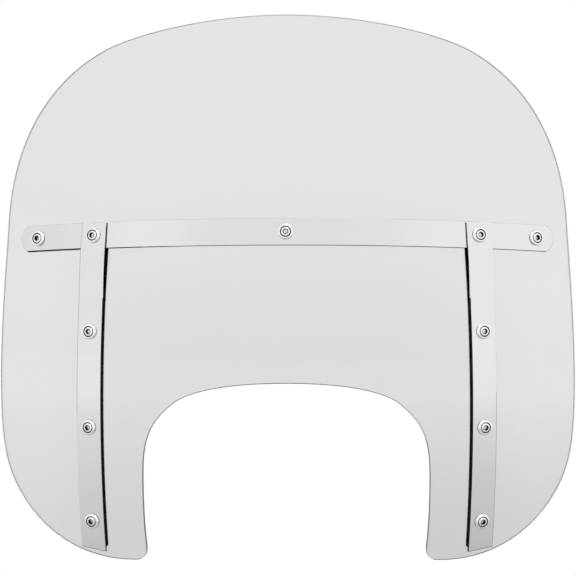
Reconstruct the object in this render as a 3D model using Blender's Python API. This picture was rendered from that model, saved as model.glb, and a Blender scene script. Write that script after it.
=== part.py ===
"""Motorcycle windshield screen with its strap kit.

Metres, +Z up. The convex front faces -Y and the rider sits on the +Y side. Left and
right are as seen from the front, so left is -X. The origin is the centre of the whole
assembly's bounding box. While it is modelled, height 0 is the sheet's widest line and
the sheet's front face passes through Y = 0 there.

The sheet is part of a surface turned about an upright axis behind it. Every sheet or
strap piece is cut and bored as a flat blank and then bent over that surface.
"""

import math

import bmesh
import bpy
from mathutils import Vector

MM = 0.001

# The sheet's surface
WRAP_RADIUS = 548 * MM  # around the upright axis, at the widest line
RAKE_RADIUS = 1045 * MM  # of the sheet's upright section
BEND_TOP = 152 * MM  # above this height the upright section is straight
SHEET_THICKNESS = 4.5 * MM

# The right half of the sheet's edge in the front view, from top centre round to the
# top of the headlight cutout: x, height, heading in degrees, and the reach of the
# curve before and after the point, in millimetres
SHEET_EDGE = (
    (0, 395, 0, 0, 80),
    (189, 360, -28, 34, 79),
    (292, 186, -87, 69, 58),
    (300, 13, -90, 60, 62),
    (274, -106, -125, 37, 31),
    (152, -160, -185, 65, 6),
    (143.2, -145, -276, 8, 27),
    (146.2, -74, -270, 20, 38),
    (112, 5, -217, 36, 7),
    (0, 25, -180, 79, 0),
)
EDGE_CHORD = 14 * MM  # length of one straight facet of the edge
SHEET_FACET_ACROSS = 20 * MM
SHEET_FACET_UP = 28 * MM

# Straps, and where they lie
STRAP_WIDTH = 27.2 * MM
STRAP_THICKNESS = 2.2 * MM
STRAP_TURN = math.radians(21.38)  # of each upright strap's top screw, around the axis
STRAP_SPLAY = math.radians(0.35)  # by which each upright strap leans out at its foot
CROSSBAR_CENTRE_HEIGHT = 176.4 * MM
CROSSBAR_END_TURN = math.radians(28.55)  # of its end screws
CROSSBAR_END_MARGIN = 21.5 * MM  # past its end screws
CROSSBAR_END_RADIUS = 14.8 * MM
STRAP_TOP = 184.2 * MM
STRAP_END_OUTER = -149 * MM
STRAP_END_INNER = -152.5 * MM
JOGGLE_TOP = 154 * MM  # the strap steps out over the crossbar between these heights
JOGGLE_FOOT = 92 * MM
STRAP_FACET = 16 * MM
JOGGLE_FACET = 6 * MM

# Pieces behind the sheet
GASKET_THICKNESS = 1.2 * MM
GASKET_END = -149.5 * MM
PLATE_WIDTH = 24 * MM
PLATE_THICKNESS = 2.5 * MM
PLATE_END = -146 * MM
BACKING_TOP = 182.2 * MM
BACKING_CORNER = 3 * MM

# Clearances between pieces that touch
GAP = 0.3 * MM
CROSSBAR_GAP = 0.6 * MM  # the crossbar twists a little against the sheet
GASKET_GAP = 0.45 * MM  # the sheet is hollow here

# Fasteners, M6
SIDES = 12
HOLE_PITCH = 97.7 * MM  # along an upright strap
SCREW_RADIUS = 2.9 * MM
METAL_BORE = 3.2 * MM
SHEET_BORE = 5.1 * MM
BUSH_RADIUS = 4.6 * MM
BUSH_RECESS = 0.15 * MM
HEAD_RADIUS = 4.9 * MM
HEAD_HEIGHT = 2.2 * MM
SOCKET_CORNER = 2.31 * MM
SOCKET_DEPTH = 2.6 * MM
CUP_RADIUS = 8 * MM
CUP_HEIGHT = 2.6 * MM
CUP_LIP = 5.9 * MM
CUP_DISH = 5.45 * MM
CUP_FLOOR = 0.6 * MM
NUT_CORNER = 5.77 * MM
NUT_HEX_HEIGHT = 4.8 * MM
NUT_HEIGHT = 9.5 * MM
NUT_BORE_DEPTH = 7.7 * MM
BACK_WASHER_RADIUS = 8 * MM
BACK_WASHER_THICKNESS = 1.6 * MM


def clear_scene():
    for item in list(bpy.data.objects):
        bpy.data.objects.remove(item, do_unlink=True)


def finish(name, colour, roughness, metallic=0.0, transmission=0.0):
    material = bpy.data.materials.new(name)
    material.use_nodes = True
    shader = material.node_tree.nodes["Principled BSDF"]
    shader.inputs["Base Color"].default_value = (*colour, 1.0)
    shader.inputs["Roughness"].default_value = roughness
    shader.inputs["Metallic"].default_value = metallic
    shader.inputs["Transmission Weight"].default_value = transmission
    return material


def new_object(name, mesh, material, frame):
    item = bpy.data.objects.new(name, mesh)
    if not mesh.materials:
        mesh.materials.append(material)
    item.parent = frame
    bpy.context.collection.objects.link(item)
    return item


# ---- the sheet's surface ----


def rake(height):
    """Backward lean of the sheet at a height."""
    return math.asin(min(height, BEND_TOP) / RAKE_RADIUS)


def setback(height):
    """How far back the sheet has curved at a height."""
    arc_height = min(height, BEND_TOP)
    arc_setback = RAKE_RADIUS - math.sqrt(RAKE_RADIUS**2 - arc_height**2)
    return arc_setback + (height - arc_height) * math.tan(rake(height))


def sheet_normal(turn, height):
    """Outward normal of the sheet's front face."""
    lean = rake(height)
    return Vector(
        (math.sin(turn) * math.cos(lean), -math.cos(turn) * math.cos(lean), math.sin(lean))
    )


def sheet_point(turn, height, outward=0.0):
    """Point at an angle around the axis, a height, and a distance out of the front face."""
    radius = WRAP_RADIUS - setback(height)
    face = Vector((radius * math.sin(turn), WRAP_RADIUS - radius * math.cos(turn), height))
    return face + outward * sheet_normal(turn, height)


def crossbar_point(turn):
    """Point of the sheet on the flat section square to it at the crossbar's middle."""
    slope = math.tan(rake(CROSSBAR_CENTRE_HEIGHT))
    radius = WRAP_RADIUS - setback(CROSSBAR_CENTRE_HEIGHT)
    drop = slope * radius * (1 - math.cos(turn)) / (1 + slope**2 * math.cos(turn))
    return sheet_point(turn, CROSSBAR_CENTRE_HEIGHT - drop)


def splay(height):
    """How far out an upright strap's middle line has gone from its top screw."""
    return (crossbar_point(STRAP_TURN).z - height) * math.tan(STRAP_SPLAY)


def strap_hole_heights():
    """Heights of an upright strap's four screws, from the crossbar down."""
    height = crossbar_point(STRAP_TURN).z
    heights = [height]
    for _ in range(3):
        height -= HOLE_PITCH * math.cos(rake(height - HOLE_PITCH / 2))
        heights.append(height)
    return heights


# ---- flat blanks ----


def edge_run(start, end):
    """Points of one curved run of the sheet's edge, without its last point."""
    corners = []
    for (x, height, heading, _, _), reach in ((start, start[4]), (end, -end[3])):
        anchor = Vector((x, height)) * MM
        angle = math.radians(heading)
        handle = anchor + reach * MM * Vector((math.cos(angle), math.sin(angle)))
        corners.append((anchor, handle))
    (first, first_handle), (last, last_handle) = corners
    steps = max(3, round((last - first).length / EDGE_CHORD))
    points = []
    for step in range(steps):
        t = step / steps
        s = 1 - t
        points.append(
            s**3 * first + 3 * s * s * t * first_handle + 3 * s * t * t * last_handle + t**3 * last
        )
    return points


def sheet_outline():
    """The whole edge, unrolled around the axis."""
    right = []
    for start, end in zip(SHEET_EDGE, SHEET_EDGE[1:]):
        right += edge_run(start, end)
    right.append(Vector((SHEET_EDGE[-1][0], SHEET_EDGE[-1][1])) * MM)
    unrolled = []
    for x, height in right:
        turn = math.asin(x / (WRAP_RADIUS - setback(height)))
        unrolled.append((turn * WRAP_RADIUS, height))
    left = [(-across, height) for across, height in reversed(unrolled[1:-1])]
    return unrolled + left


def crossbar_length_at(turn):
    """Distance along the crossbar from its middle."""
    return turn * (WRAP_RADIUS - setback(CROSSBAR_CENTRE_HEIGHT))


def crossbar_outline():
    """A long strip with shallow round ends."""
    half_length = crossbar_length_at(CROSSBAR_END_TURN) + CROSSBAR_END_MARGIN
    sweep = math.asin(STRAP_WIDTH / 2 / CROSSBAR_END_RADIUS)
    steps = 8
    right = []
    for step in range(steps + 1):
        angle = sweep * (1 - 2 * step / steps)
        along = half_length - CROSSBAR_END_RADIUS * (1 - math.cos(angle))
        right.append((along, CROSSBAR_END_RADIUS * math.sin(angle)))
    return right + [(-along, -across) for along, across in right]


def strap_outline():
    """An upright strap, its foot cut to follow the sheet's edge; +Y is away from centre."""
    half = STRAP_WIDTH / 2
    return [
        (STRAP_END_INNER, -half),
        (STRAP_TOP, -half),
        (STRAP_TOP, half),
        (STRAP_END_OUTER, half),
    ]


def backing_outline(width, foot):
    """A strip with rounded corners, behind an upright strap."""
    middles = (
        (foot, -width / 2, 1, 1, 180),
        (BACKING_TOP, -width / 2, -1, 1, 270),
        (BACKING_TOP, width / 2, -1, -1, 0),
        (foot, width / 2, 1, -1, 90),
    )
    steps = 2
    points = []
    for height, across, up, inward, first_angle in middles:
        for step in range(steps + 1):
            angle = math.radians(first_angle + 90 * step / steps)
            points.append(
                (
                    height + BACKING_CORNER * (up + math.cos(angle)),
                    across + BACKING_CORNER * (inward + math.sin(angle)),
                )
            )
    return points


def face_out(shape):
    """Points every face of a closed shape outwards."""
    bmesh.ops.recalc_face_normals(shape, faces=shape.faces)
    if shape.calc_volume(signed=True) < 0:
        bmesh.ops.reverse_faces(shape, faces=shape.faces)


def prism(outline, low, high):
    """Closed mesh of an outline between two levels."""
    shape = bmesh.new()
    bottom = [shape.verts.new((x, y, low)) for x, y in outline]
    top = [shape.verts.new((x, y, high)) for x, y in outline]
    shape.faces.new(bottom)
    shape.faces.new(top)
    for index in range(len(outline)):
        after = (index + 1) % len(outline)
        shape.faces.new((bottom[index], bottom[after], top[after], top[index]))
    face_out(shape)
    mesh = bpy.data.meshes.new("blank")
    shape.to_mesh(mesh)
    shape.free()
    return mesh


def drills(centres, radius, thickness):
    """Closed mesh of one drill for each bore."""
    shape = bmesh.new()
    for x, y in centres:
        drill = bmesh.ops.create_cone(
            shape,
            cap_ends=True,
            segments=SIDES,
            radius1=radius,
            radius2=radius,
            depth=4 * thickness,
        )
        bmesh.ops.translate(shape, verts=drill["verts"], vec=(x, y, thickness / 2))
    mesh = bpy.data.meshes.new("drills")
    shape.to_mesh(mesh)
    shape.free()
    return mesh


def bored(blank, drill_mesh):
    """The blank's mesh with its bores cut."""
    stock = bpy.data.objects.new("stock", blank)
    cutter = bpy.data.objects.new("cutter", drill_mesh)
    for item in (stock, cutter):
        bpy.context.collection.objects.link(item)
    cut = stock.modifiers.new("bores", "BOOLEAN")
    cut.operation = "DIFFERENCE"
    cut.solver = "EXACT"
    cut.object = cutter
    depsgraph = bpy.context.evaluated_depsgraph_get()
    mesh = bpy.data.meshes.new_from_object(stock.evaluated_get(depsgraph))
    for item in (stock, cutter):
        bpy.data.objects.remove(item, do_unlink=True)
    return mesh


def levels(low, high, spacing):
    """Evenly spaced levels strictly between two ends."""
    count = max(1, round((high - low) / spacing))
    return [low + (high - low) * step / count for step in range(1, count)]


def bent(name, mesh, x_scores, y_scores, form):
    """Scores a flat blank where it will bend, and moves each point through form."""
    shape = bmesh.new()
    shape.from_mesh(mesh)
    scores = [((x, 0, 0), (1, 0, 0)) for x in x_scores]
    scores += [((0, y, 0), (0, 1, 0)) for y in y_scores]
    for place, normal in scores:
        everything = shape.verts[:] + shape.edges[:] + shape.faces[:]
        bmesh.ops.bisect_plane(
            shape, geom=everything, dist=0.01 * MM, plane_co=place, plane_no=normal
        )
    for vertex in shape.verts:
        vertex.co = form(*vertex.co)
    face_out(shape)
    result = bpy.data.meshes.new(name)
    shape.to_mesh(result)
    shape.free()
    result.shade_smooth()
    result.set_sharp_from_angle(angle=math.radians(30))
    return result


# ---- sheet and strap pieces ----


def make_screen(material, frame):
    outline = sheet_outline()
    holes = [(turn * WRAP_RADIUS, height) for _, turn, height, _ in fastener_places()]
    blank = bored(
        prism(outline, 0, SHEET_THICKNESS), drills(holes, SHEET_BORE, SHEET_THICKNESS)
    )
    reach = max(across for across, _ in outline)
    top = max(height for _, height in outline)
    foot = min(height for _, height in outline)

    def form(across, height, level):
        return sheet_point(across / WRAP_RADIUS, height, level - SHEET_THICKNESS)

    mesh = bent(
        "screen",
        blank,
        levels(-reach, reach, SHEET_FACET_ACROSS),
        levels(foot, BEND_TOP, SHEET_FACET_UP) + [BEND_TOP] + levels(BEND_TOP, top, 80 * MM),
        form,
    )
    return new_object("screen", mesh, material, frame)


def make_crossbar(material, frame):
    outline = crossbar_outline()
    turns = (-CROSSBAR_END_TURN, -STRAP_TURN, 0.0, STRAP_TURN, CROSSBAR_END_TURN)
    holes = [(crossbar_length_at(turn), 0.0) for turn in turns]
    blank = bored(
        prism(outline, 0, STRAP_THICKNESS), drills(holes, METAL_BORE, STRAP_THICKNESS)
    )
    lean = rake(CROSSBAR_CENTRE_HEIGHT)
    upward = Vector((0, math.sin(lean), math.cos(lean)))
    small_turn = math.radians(0.01)

    def form(along, across, level):
        turn = along / crossbar_length_at(1.0)
        step = crossbar_point(turn + small_turn) - crossbar_point(turn - small_turn)
        outward = step.normalized().cross(upward)
        return crossbar_point(turn) + across * upward + (CROSSBAR_GAP + level) * outward

    half_length = max(along for along, _ in outline)
    mesh = bent("crossbar_strap", blank, levels(-half_length, half_length, STRAP_FACET), [], form)
    return new_object("crossbar_strap", mesh, material, frame)


def joggle(height):
    """How far an upright strap stands off the sheet at a height."""
    over_crossbar = CROSSBAR_GAP + STRAP_THICKNESS + GAP
    share = (height - JOGGLE_FOOT) / (JOGGLE_TOP - JOGGLE_FOOT)
    share = min(max(share, 0.0), 1.0)
    ease = share * share * (3 - 2 * share)
    return GAP + (over_crossbar - GAP) * ease


def upright_strip(name, side, outline, thickness, bore, standoff, scores, material, frame):
    """A strip along an upright section of the sheet; side is -1 for left, 1 for right."""
    holes = [(height, 0.0) for height in strap_hole_heights()]
    blank = bored(prism(outline, 0, thickness), drills(holes, bore, thickness))

    turn = side * STRAP_TURN
    sideways = side * Vector((math.cos(turn), math.sin(turn), 0))

    def form(height, across, level):
        face = sheet_point(turn, height, standoff(height) + level)
        return face + (across + splay(height)) * sideways

    mesh = bent(name, blank, scores, [], form)
    return new_object(name, mesh, material, frame)


def make_upright_pieces(side, finishes, frame):
    label = "left" if side < 0 else "right"
    strap_scores = levels(STRAP_END_OUTER, JOGGLE_FOOT, STRAP_FACET) + [JOGGLE_FOOT]
    strap_scores += levels(JOGGLE_FOOT, JOGGLE_TOP, JOGGLE_FACET) + [JOGGLE_TOP]
    upright_strip(
        f"{label}_strap",
        side,
        strap_outline(),
        STRAP_THICKNESS,
        METAL_BORE,
        joggle,
        strap_scores,
        finishes["polished_steel"],
        frame,
    )
    gasket_back = -SHEET_THICKNESS - GASKET_GAP - GASKET_THICKNESS
    backing = (
        ("gasket", STRAP_WIDTH, GASKET_END, GASKET_THICKNESS, gasket_back, "gasket_rubber"),
        (
            "plate",
            PLATE_WIDTH,
            PLATE_END,
            PLATE_THICKNESS,
            gasket_back - GAP - PLATE_THICKNESS,
            "black_steel",
        ),
    )
    for kind, width, foot, thickness, back, finish_name in backing:
        upright_strip(
            f"{label}_backing_{kind}",
            side,
            backing_outline(width, foot),
            thickness,
            METAL_BORE,
            lambda height, back=back: back,
            levels(PLATE_END + BACKING_CORNER, BEND_TOP, STRAP_FACET) + [BEND_TOP],
            finishes[finish_name],
            frame,
        )


# ---- fasteners ----


def fastener_places():
    """Name, turn, height and kind of each screw: on a strap, on the bar, or through both."""
    places = []
    for side, label in ((-1, "left"), (1, "right")):
        heights = strap_hole_heights()
        kinds = ("crossing", "strap", "strap", "strap")
        for level, height, kind in zip(("top", "upper", "lower", "bottom"), heights, kinds):
            turn = STRAP_TURN + splay(height) / (WRAP_RADIUS - setback(height))
            places.append((f"{label}_{level}", side * turn, height, kind))
        end_turn = side * CROSSBAR_END_TURN
        places.append((f"{label}_end", end_turn, crossbar_point(end_turn).z, "bar"))
    places.append(("center", 0.0, CROSSBAR_CENTRE_HEIGHT, "bar"))
    return places


def turned(name, rings, is_loop):
    """Turned solid along Z from rings of radius, height and whether the ring is a hexagon."""
    shape = bmesh.new()
    circles = []
    for radius, height, is_hexagon in rings:
        circle = []
        for step in range(SIDES):
            angle = step * math.tau / SIDES
            is_flat = is_hexagon and step % 2 == 1
            reach = radius * math.cos(math.pi / 6) if is_flat else radius
            place = (reach * math.cos(angle), reach * math.sin(angle), height)
            circle.append(shape.verts.new(place))
        circles.append(circle)
    following = circles[1:]
    if is_loop:
        following = following + circles[:1]
    else:
        shape.faces.new(circles[0])
        shape.faces.new(circles[-1])
    for lower, upper in zip(circles, following):
        for step in range(SIDES):
            after = (step + 1) % SIDES
            shape.faces.new((lower[step], lower[after], upper[after], upper[step]))
    face_out(shape)
    mesh = bpy.data.meshes.new(name)
    shape.to_mesh(mesh)
    shape.free()
    mesh.shade_smooth()
    mesh.set_sharp_from_angle(angle=math.radians(40))
    return mesh


def screw_mesh(length):
    """Button-head socket screw, Z = 0 under its head."""
    return turned(
        "screw",
        (
            (0.8 * SCREW_RADIUS, -length, False),
            (SCREW_RADIUS, -length + 0.6 * MM, False),
            (SCREW_RADIUS, 0, False),
            (HEAD_RADIUS, 0, False),
            (HEAD_RADIUS, 0.4 * HEAD_HEIGHT, False),
            (0.88 * HEAD_RADIUS, 0.8 * HEAD_HEIGHT, False),
            (0.64 * HEAD_RADIUS, HEAD_HEIGHT, False),
            (SOCKET_CORNER, HEAD_HEIGHT, True),
            (SOCKET_CORNER, HEAD_HEIGHT - SOCKET_DEPTH, True),
        ),
        is_loop=False,
    )


def cup_washer_mesh():
    """Domed washer with a dish for the screw's head, Z = 0 on the strap."""
    return turned(
        "cup_washer",
        (
            (CUP_RADIUS, 0, False),
            (0.95 * CUP_RADIUS, 0.42 * CUP_HEIGHT, False),
            (0.83 * CUP_RADIUS, 0.84 * CUP_HEIGHT, False),
            (CUP_LIP, CUP_HEIGHT, False),
            (CUP_DISH, 0.92 * CUP_HEIGHT, False),
            (CUP_DISH, CUP_FLOOR, False),
            (METAL_BORE, CUP_FLOOR, False),
            (METAL_BORE, 0, False),
        ),
        is_loop=True,
    )


def ring_mesh(name, outer, inner, length):
    """Plain ring, Z = 0 at one end."""
    return turned(
        name,
        ((outer, 0, False), (outer, length, False), (inner, length, False), (inner, 0, False)),
        is_loop=True,
    )


def nut_mesh():
    """Domed cap nut, Z = 0 on the face that it is tightened against."""
    return turned(
        "cap_nut",
        (
            (METAL_BORE, NUT_BORE_DEPTH, False),
            (METAL_BORE, 0, False),
            (NUT_CORNER, 0, True),
            (NUT_CORNER, NUT_HEX_HEIGHT, True),
            (0.82 * NUT_CORNER, NUT_HEX_HEIGHT + 0.4 * MM, False),
            (0.74 * NUT_CORNER, 0.78 * NUT_HEIGHT, False),
            (0.42 * NUT_CORNER, NUT_HEIGHT, False),
        ),
        is_loop=False,
    )


def place_fastener(name, mesh, turn, height, outward, faces_out, material, frame):
    """Sets a turned piece on the sheet's normal, its +Z facing out of the front or the back."""
    normal = sheet_normal(turn, height)
    axis = normal if faces_out else -normal
    item = new_object(name, mesh, material, frame)
    item.location = sheet_point(turn, height, outward)
    item.rotation_mode = "QUATERNION"
    item.rotation_quaternion = axis.to_track_quat("Z", "Y")
    return item


def make_fasteners(finishes, frame):
    cup_washer = cup_washer_mesh()
    bush = ring_mesh("bush", BUSH_RADIUS, METAL_BORE, SHEET_THICKNESS - 2 * BUSH_RECESS)
    back_washer = ring_mesh(
        "back_washer", BACK_WASHER_RADIUS, METAL_BORE, BACK_WASHER_THICKNESS
    )
    nut = nut_mesh()
    bar_top = CROSSBAR_GAP + STRAP_THICKNESS
    front = {"strap": GAP + STRAP_THICKNESS, "bar": bar_top}
    front["crossing"] = bar_top + GAP + STRAP_THICKNESS
    plate_back = GASKET_GAP + GASKET_THICKNESS + GAP + PLATE_THICKNESS
    depth = {"strap": plate_back, "crossing": plate_back, "bar": GAP + BACK_WASHER_THICKNESS}
    screws = {"strap": screw_mesh(20 * MM), "crossing": screw_mesh(22 * MM)}
    screws["bar"] = screw_mesh(18 * MM)
    chrome = finishes["chrome"]
    for place, turn, height, kind in fastener_places():
        cup = front[kind] + GAP
        head = cup + CUP_FLOOR + GAP
        back = -SHEET_THICKNESS - depth[kind] - GAP
        spot = (turn, height)
        place_fastener(f"{place}_cup_washer", cup_washer, *spot, cup, True, chrome, frame)
        place_fastener(f"{place}_screw", screws[kind], *spot, head, True, chrome, frame)
        place_fastener(
            f"{place}_bush", bush, *spot, -BUSH_RECESS, False, finishes["nylon"], frame
        )
        place_fastener(f"{place}_nut", nut, *spot, back, False, chrome, frame)
        if kind == "bar":
            washer_face = -SHEET_THICKNESS - GAP
            place_fastener(
                f"{place}_back_washer",
                back_washer,
                *spot,
                washer_face,
                False,
                finishes["gasket_rubber"],
                frame,
            )


def centre_on_origin(frame):
    """Moves the frame so that the assembly's box is centred on the origin."""
    bpy.context.view_layer.update()
    corners = [
        item.matrix_world @ vertex.co
        for item in bpy.data.objects
        if item.type == "MESH"
        for vertex in item.data.vertices
    ]
    frame.location = [
        -(min(corner[axis] for corner in corners) + max(corner[axis] for corner in corners)) / 2
        for axis in range(3)
    ]


def main():
    clear_scene()
    frame = bpy.data.objects.new("windshield", None)
    bpy.context.collection.objects.link(frame)
    finishes = {
        "clear_sheet": finish("clear_sheet", (0.9, 0.92, 0.91), 0.03, transmission=1.0),
        "polished_steel": finish("polished_steel", (0.8, 0.8, 0.8), 0.2, metallic=1.0),
        "chrome": finish("chrome", (0.85, 0.85, 0.86), 0.08, metallic=1.0),
        "black_steel": finish("black_steel", (0.015, 0.015, 0.015), 0.45),
        "gasket_rubber": finish("gasket_rubber", (0.01, 0.01, 0.01), 0.8),
        "nylon": finish("nylon", (0.75, 0.75, 0.72), 0.5),
    }
    make_screen(finishes["clear_sheet"], frame)
    make_crossbar(finishes["polished_steel"], frame)
    for side in (-1, 1):
        make_upright_pieces(side, finishes, frame)
    make_fasteners(finishes, frame)
    centre_on_origin(frame)


main()
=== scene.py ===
"""Looks of the motorcycle windshield screen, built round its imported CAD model.

The convex front faces -Y and the rider sits on the +Y side. Left is -X, as seen from
the front. Every sheet and strap piece is cut as a flat blank with rounded edges and
then bent over the clear sheet's surface, and every fastener is turned about its axis.
Heights are counted from the sheet's widest line, as the CAD model counts them.
"""

import math

import bmesh
import bpy
from mathutils import Matrix, Vector


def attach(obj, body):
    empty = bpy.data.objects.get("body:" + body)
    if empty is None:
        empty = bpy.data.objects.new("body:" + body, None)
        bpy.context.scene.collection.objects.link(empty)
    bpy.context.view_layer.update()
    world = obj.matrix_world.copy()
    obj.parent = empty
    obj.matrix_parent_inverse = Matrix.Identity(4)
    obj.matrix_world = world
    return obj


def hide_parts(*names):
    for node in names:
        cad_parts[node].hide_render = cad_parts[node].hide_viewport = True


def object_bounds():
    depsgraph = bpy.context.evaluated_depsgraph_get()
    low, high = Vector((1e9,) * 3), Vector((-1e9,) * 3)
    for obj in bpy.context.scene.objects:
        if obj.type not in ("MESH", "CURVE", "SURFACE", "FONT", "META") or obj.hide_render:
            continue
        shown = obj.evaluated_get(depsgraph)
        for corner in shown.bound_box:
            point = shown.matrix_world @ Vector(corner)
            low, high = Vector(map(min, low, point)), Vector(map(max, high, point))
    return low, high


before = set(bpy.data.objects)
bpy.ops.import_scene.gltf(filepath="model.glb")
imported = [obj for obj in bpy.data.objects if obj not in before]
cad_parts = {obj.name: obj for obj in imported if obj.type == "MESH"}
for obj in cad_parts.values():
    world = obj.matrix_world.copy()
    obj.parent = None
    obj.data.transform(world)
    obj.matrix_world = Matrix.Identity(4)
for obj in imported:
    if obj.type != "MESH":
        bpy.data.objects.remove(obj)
cad_low, cad_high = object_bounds()

MM = 0.001

# The clear sheet's surface, turned about an upright axis behind it
WRAP_RADIUS = 548 * MM
RAKE_RADIUS = 1045 * MM
BEND_TOP = 152 * MM  # above this height the upright section is straight
SHEET_THICKNESS = 4.5 * MM
SHEET_TOP = 395 * MM
CUTOUT_TOP = 25 * MM

# The right half of its edge in the front view, from top centre round to the top of the
# headlight cutout: x, height, heading in degrees, and the reach of the curve before and
# after the point, in millimetres
SHEET_EDGE = (
    (0, 395, 0, 0, 80),
    (189, 360, -28, 34, 79),
    (292, 186, -87, 69, 58),
    (300, 13, -90, 60, 62),
    (274, -106, -125, 37, 31),
    (152, -160, -185, 65, 6),
    (143.2, -145, -276, 8, 27),
    (146.2, -74, -270, 20, 38),
    (112, 5, -217, 36, 7),
    (0, 25, -180, 79, 0),
)
EDGE_CHORD = 3 * MM
EDGE_STEPS = 14  # at least, in each run of the edge
SHEET_FACET = 8 * MM
SHEET_EDGE_ROUND = 0.7 * MM

# Straps and the strips behind the sheet
STRAP_WIDTH = 27.2 * MM
STRAP_THICKNESS = 2.2 * MM
STRAP_TURN = math.radians(21.38)
STRAP_SPLAY = math.radians(0.35)
CROSSBAR_CENTRE_HEIGHT = 176.4 * MM
CROSSBAR_END_TURN = math.radians(28.55)
CROSSBAR_END_MARGIN = 21.5 * MM
CROSSBAR_END_RADIUS = 14.8 * MM
STRAP_TOP = 184.2 * MM
STRAP_END_OUTER = -149 * MM
STRAP_END_INNER = -152.5 * MM
JOGGLE_TOP = 154 * MM
JOGGLE_FOOT = 92 * MM
STRIP_FACET = 4 * MM
STRIP_EDGE_ROUND = 0.3 * MM
SHEET_RIM_WEAR = 0.03 * MM  # depth to which a rounded rim keeps its face's finish
STRIP_RIM_WEAR = 0.06 * MM
SIDE_POLISH_LEVEL = 1.3 * MM  # above it a strap's sides stay polished,
SIDE_POLISH_FOOT = 108 * MM  # down to this height
LOWER_RIM = 0.45 * MM  # painted shade on the crossbar's front, along its lower edge
STRAP_SHADE = 0.6 * MM  # what is added to that beside the left strap
STRAP_SHADE_REACH = 90 * MM
# painted shade along the lower edge of the crossbar's stub left of the left strap
LEFT_STUB_RIM = 1.4 * MM
CROSSBAR_RIM_SCORES = (LOWER_RIM, 0.6 * MM, 0.8 * MM, LEFT_STUB_RIM)
LEFT_INNER_RIM = 0.3 * MM  # painted shade on a strap's front, along its inner edge
RIGHT_INNER_RIM = 0.7 * MM
OUTER_RIM = 0.43 * MM  # the same along its outer edge: the left strap's upper part and the
OUTER_RIM_OVERLAP = 12 * MM  # right one's lower part, this far past the widest line
FOOT_RIM = 0.6 * MM  # and the same along its foot
END_RIM = 0.31 * MM  # painted shade on the crossbar's front, round its ends
GASKET_THICKNESS = 1.2 * MM
GASKET_END = -149.5 * MM
PLATE_WIDTH = 24 * MM
PLATE_THICKNESS = 2.5 * MM
PLATE_END = -146 * MM
BACKING_TOP = 182.2 * MM
BACKING_CORNER = 3 * MM
GAP = 0.3 * MM
CROSSBAR_GAP = 0.6 * MM
GASKET_GAP = 0.45 * MM

# Fasteners
HOLE_PITCH = 97.7 * MM
SCREW_RADIUS = 2.9 * MM
METAL_BORE = 3.2 * MM
SHEET_BORE = 5.1 * MM
BUSH_RADIUS = 4.6 * MM
BUSH_RECESS = 0.15 * MM
SCREW_LENGTHS = {"strap": 20 * MM, "crossing": 22 * MM, "bar": 18 * MM}
HEAD_RADIUS = 4.9 * MM
HEAD_HEIGHT = 2.2 * MM
SOCKET_CORNER = 2.31 * MM
SOCKET_DEPTH = 2.6 * MM
CUP_RADIUS = 8 * MM
CUP_HEIGHT = 2.6 * MM
CUP_LIP = 5.9 * MM
CUP_DISH = 5.45 * MM
CUP_FLOOR = 0.6 * MM
NUT_CORNER = 5.77 * MM
NUT_HEX_HEIGHT = 4.8 * MM
NUT_HEIGHT = 9.5 * MM
NUT_BORE_DEPTH = 7.7 * MM
BACK_WASHER_RADIUS = 8 * MM
BACK_WASHER_THICKNESS = 1.6 * MM
CUP_RIM = 0.4 * MM  # painted shade on the lowest part of a cup washer's skirt
TURNED_SIDES = 48
DRILL_SIDES = 32
RIM_STEPS = 3  # facets across a rounded rim
SCORE_TOLERANCE = 0.01 * MM  # a point this close to a score line counts as on it
SHARP_ANGLE = math.radians(35)  # edges bent more than this aren't shaded smooth
LARGE_FACE_WEIGHT = 80  # how far a piece's large faces outweigh its small ones

# How much light the clear sheet lets through at its top and in its middle, and what is
# taken off or added elsewhere: its lighter top, darker legs and lighter outer sides below
# the bar are painted light and painted shade, not changes in the plastic. A pair of places
# is where a change starts and ends, in metres: heights in the row frame, or distances from
# the middle
TINT_TOP = 0.775
TINT_MIDDLE = 0.715
MIDDLE_TO_TOP = (-0.06, 0.12)
BELOW_BAR = (0.0, 0.1)
# painted shade taken off the sheet's grey down the legs
LEG_PAINTED_SHADE = 0.07
LEG_HEIGHTS = (-0.24, -0.11)
RIGHT_LEG_SHADE_SHARE = 0.4  # share by which the right leg has more painted shade
RIGHT_SIDE = (0.1, 0.16)
# painted light added at the outer sides below the bar
OUTER_PAINTED_LIGHT = 0.044
OUTER_SIDES = (0.17, 0.25)
TINT_COOL = 0.009  # red lost below the bar, above the legs and mostly between the straps
COOL_HEIGHTS = (-0.2, -0.1)
COOL_SIDES = (0.14, 0.22)
TINT_WARM = 0.014  # blue lost at the top, and lower down
TINT_LOW_WARM = 0.004

# Painted shade that takes off the cut edge's grey, along the sheet's top and the cutout's arch
TOP_EDGE_PAINTED_SHADE = 0.15
CUTOUT_EDGE_PAINTED_SHADE = 0.55
CUTOUT_TO_TOP = (-0.05, 0.05)
ARCH_HEIGHTS = (-0.16, -0.11)
ARCH_SIDES = (0.12, 0.2)

# Places of the finishes in a fastener's list of materials; the second is black painted shade
BRIGHT, PAINTED_SHADE, SOCKET_FLOOR = range(3)
STEEP = 0.8  # upward share of the normal, below which a fastener's face is steep

# Camera: turned a degree to the right of the front, and a little above the object
CAMERA_TURN = math.radians(0.99)
CAMERA_ELEVATION = math.radians(3.83)
CAMERA_ROLL = math.radians(0.12)
CAMERA_DISTANCE = 2.0777
CAMERA_AIM = Vector((0.0016, 0.0, 0.0001))
CAMERA_LENS = 126.83
CAMERA_SENSOR = 36

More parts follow.
